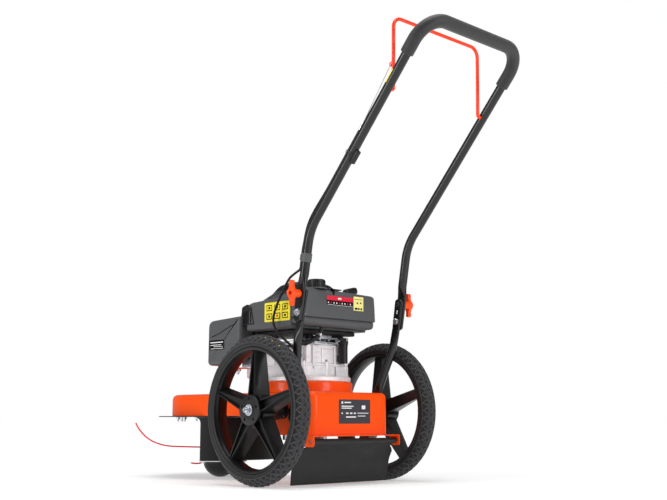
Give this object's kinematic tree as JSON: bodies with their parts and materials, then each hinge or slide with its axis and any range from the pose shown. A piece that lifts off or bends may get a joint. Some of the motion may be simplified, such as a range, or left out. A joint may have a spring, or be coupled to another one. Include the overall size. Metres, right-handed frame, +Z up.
{
  "type": "walk-behind string trimmer",
  "caption": "Wheeled walk-behind string trimmer with a petrol engine on a pressed steel deck, a belt-driven trimmer head in front and a folding U handle.",
  "frame": {"origin": "middle of the base on the ground, between the front of the guard and the rear of the grip", "axes": "+Z up, +Y towards the operator, +X to the operator's left"},
  "size_m": [0.512, 1.1064, 1.063],
  "materials": {
    "tyre_rubber": "moulded rubber, matte",
    "rim_plastic": "glass-filled nylon, satin",
    "deck_paint": "orange powder coat, gloss",
    "tube_paint": "black powder coat, gloss",
    "grip_foam": "closed-cell foam, matte",
    "zinc": "bright zinc plate",
    "cast_aluminium": "as-cast aluminium",
    "engine_plastic": "textured dark grey plastic",
    "black_plastic": "black plastic, satin",
    "black_steel": "black paint, satin",
    "orange_plastic": "orange plastic, satin",
    "bail_paint": "orange-red paint, gloss",
    "nylon_line": "clear-coated red nylon",
    "black_rubber": "sheet rubber, matte",
    "cable_sheath": "ribbed cable sheath",
    "steel": "machined steel"
  },
  "bodies": {
    "root": {"air_cleaner_base": "black_plastic", "air_cleaner_cover": "engine_plastic", "axle": "zinc", "blower_base": "black_plastic", "blower_cover": "engine_plastic", "brake_cable_lower": "cable_sheath", "carburettor": "zinc", "crankcase": "cast_aluminium", "cylinder": "cast_aluminium", "cylinder_cowl": "engine_plastic", "cylinder_head": "cast_aluminium", "debris_skirt": "black_steel", "deck": "deck_paint", "drive_belt": "black_rubber", "engine_seat": "deck_paint", "flap_rod": "steel", "fuel_hose": "black_rubber", "fuel_tank": "engine_plastic", "guard_plate": "black_steel", "left_axle_boss": "black_plastic", "left_handle_bracket": "tube_paint", "left_pivot_bolt": "zinc", "left_wheel_nut": "zinc", "line_cutter": "zinc", "muffler": "steel", "rear_bracket": "deck_paint", "right_axle_boss": "black_plastic", "right_handle_bracket": "tube_paint", "right_pivot_bolt": "zinc", "right_wheel_nut": "zinc", "spark_plug": "zinc", "spindle_housing": "cast_aluminium", "starter_housing": "engine_plastic"},
    "left_wheel": {"left_tyre": "tyre_rubber", "left_rim": "rim_plastic"},
    "right_wheel": {"right_tyre": "tyre_rubber", "right_rim": "rim_plastic"},
    "crank": {"crankshaft": "steel", "flywheel": "cast_aluminium", "drive_pulley": "zinc"},
    "trimmer_head": {"trimmer_spindle": "steel", "driven_pulley": "cast_aluminium", "trimmer_head": "black_plastic", "trimmer_line_1": "nylon_line", "trimmer_line_2": "nylon_line"},
    "glide": {"glide_cup": "black_plastic"},
    "flap": {"rear_flap": "black_rubber"},
    "handle": {"handle_tube": "tube_paint", "foam_grip": "grip_foam", "left_lock_bolt": "zinc", "right_lock_bolt": "zinc", "cable_clip": "engine_plastic", "brake_cable_upper": "cable_sheath", "brake_wire": "zinc"},
    "left_knob": {"left_knob": "orange_plastic"},
    "right_knob": {"right_knob": "orange_plastic"},
    "bail": {"bail_lever": "bail_paint"},
    "starter": {"starter_grip": "black_plastic"},
    "fuel_cap": {"fuel_cap": "black_plastic"},
    "dipstick": {"oil_dipstick": "black_plastic"}
  },
  "joints": [
    {"name": "left_wheel_spin", "type": "hinge", "parent": "root", "child": "left_wheel", "pos_m": [0.2157, 0.03075, 0.178], "axis": [1, 0, 0], "continuous": true},
    {"name": "right_wheel_spin", "type": "hinge", "parent": "root", "child": "right_wheel", "pos_m": [-0.2157, 0.03075, 0.178], "axis": [1, 0, 0], "continuous": true},
    {"name": "crank_spin", "type": "hinge", "parent": "root", "child": "crank", "pos_m": [0, -0.03825, 0.3], "axis": [0, 0, -1], "continuous": true},
    {"name": "trimmer_head_spin", "type": "hinge", "parent": "root", "child": "trimmer_head", "pos_m": [0, -0.38225, 0.12], "axis": [0, 0, -1], "continuous": true, "deforming": ["trimmer_line_1", "trimmer_line_2"]},
    {"name": "glide_cup_spin", "type": "hinge", "parent": "trimmer_head", "child": "glide", "pos_m": [0, -0.38225, 0.03], "axis": [0, 0, 1], "continuous": true},
    {"name": "handle_fold", "type": "hinge", "parent": "root", "child": "handle", "pos_m": [0, 0.12925, 0.405], "axis": [1, 0, 0], "range_deg": [0, 115], "deforming": ["brake_cable_lower"]},
    {"name": "left_knob_turn", "type": "hinge", "parent": "handle", "child": "left_knob", "pos_m": [0.19, 0.13701, 0.44831], "axis": [1, 0, 0], "continuous": true},
    {"name": "right_knob_turn", "type": "hinge", "parent": "handle", "child": "right_knob", "pos_m": [-0.19, 0.13701, 0.44831], "axis": [1, 0, 0], "continuous": true},
    {"name": "bail_swing", "type": "hinge", "parent": "handle", "child": "bail", "pos_m": [0, 0.41689, 0.88651], "axis": [1, 0, 0], "range_deg": [-33, 0], "stiffness_Nm_per_rad": 0.4, "springref_deg": 28.65, "deforming": ["brake_wire"]},
    {"name": "flap_swing", "type": "hinge", "parent": "root", "child": "flap", "pos_m": [0, 0.14275, 0.105], "axis": [1, 0, 0], "range_deg": [-35, 60]},
    {"name": "fuel_cap_turn", "type": "hinge", "parent": "root", "child": "fuel_cap", "pos_m": [0.066, 0.07425, 0.48], "axis": [0, 0, 1], "range_deg": [0, 120]},
    {"name": "dipstick_turn", "type": "hinge", "parent": "root", "child": "dipstick", "pos_m": [-0.05, 0.05025, 0.34], "axis": [0, 0, 1], "range_deg": [0, 360]},
    {"name": "starter_pull", "type": "slide", "parent": "root", "child": "starter", "axis": [0, 0, 1], "range_m": [0, 0.35], "stiffness_N_per_m": 20, "springref_m": -0.06}
  ],
  "couplings": [
    {"joint": "trimmer_head_spin", "follows": "crank_spin", "ratio": 0.83333}
  ]
}
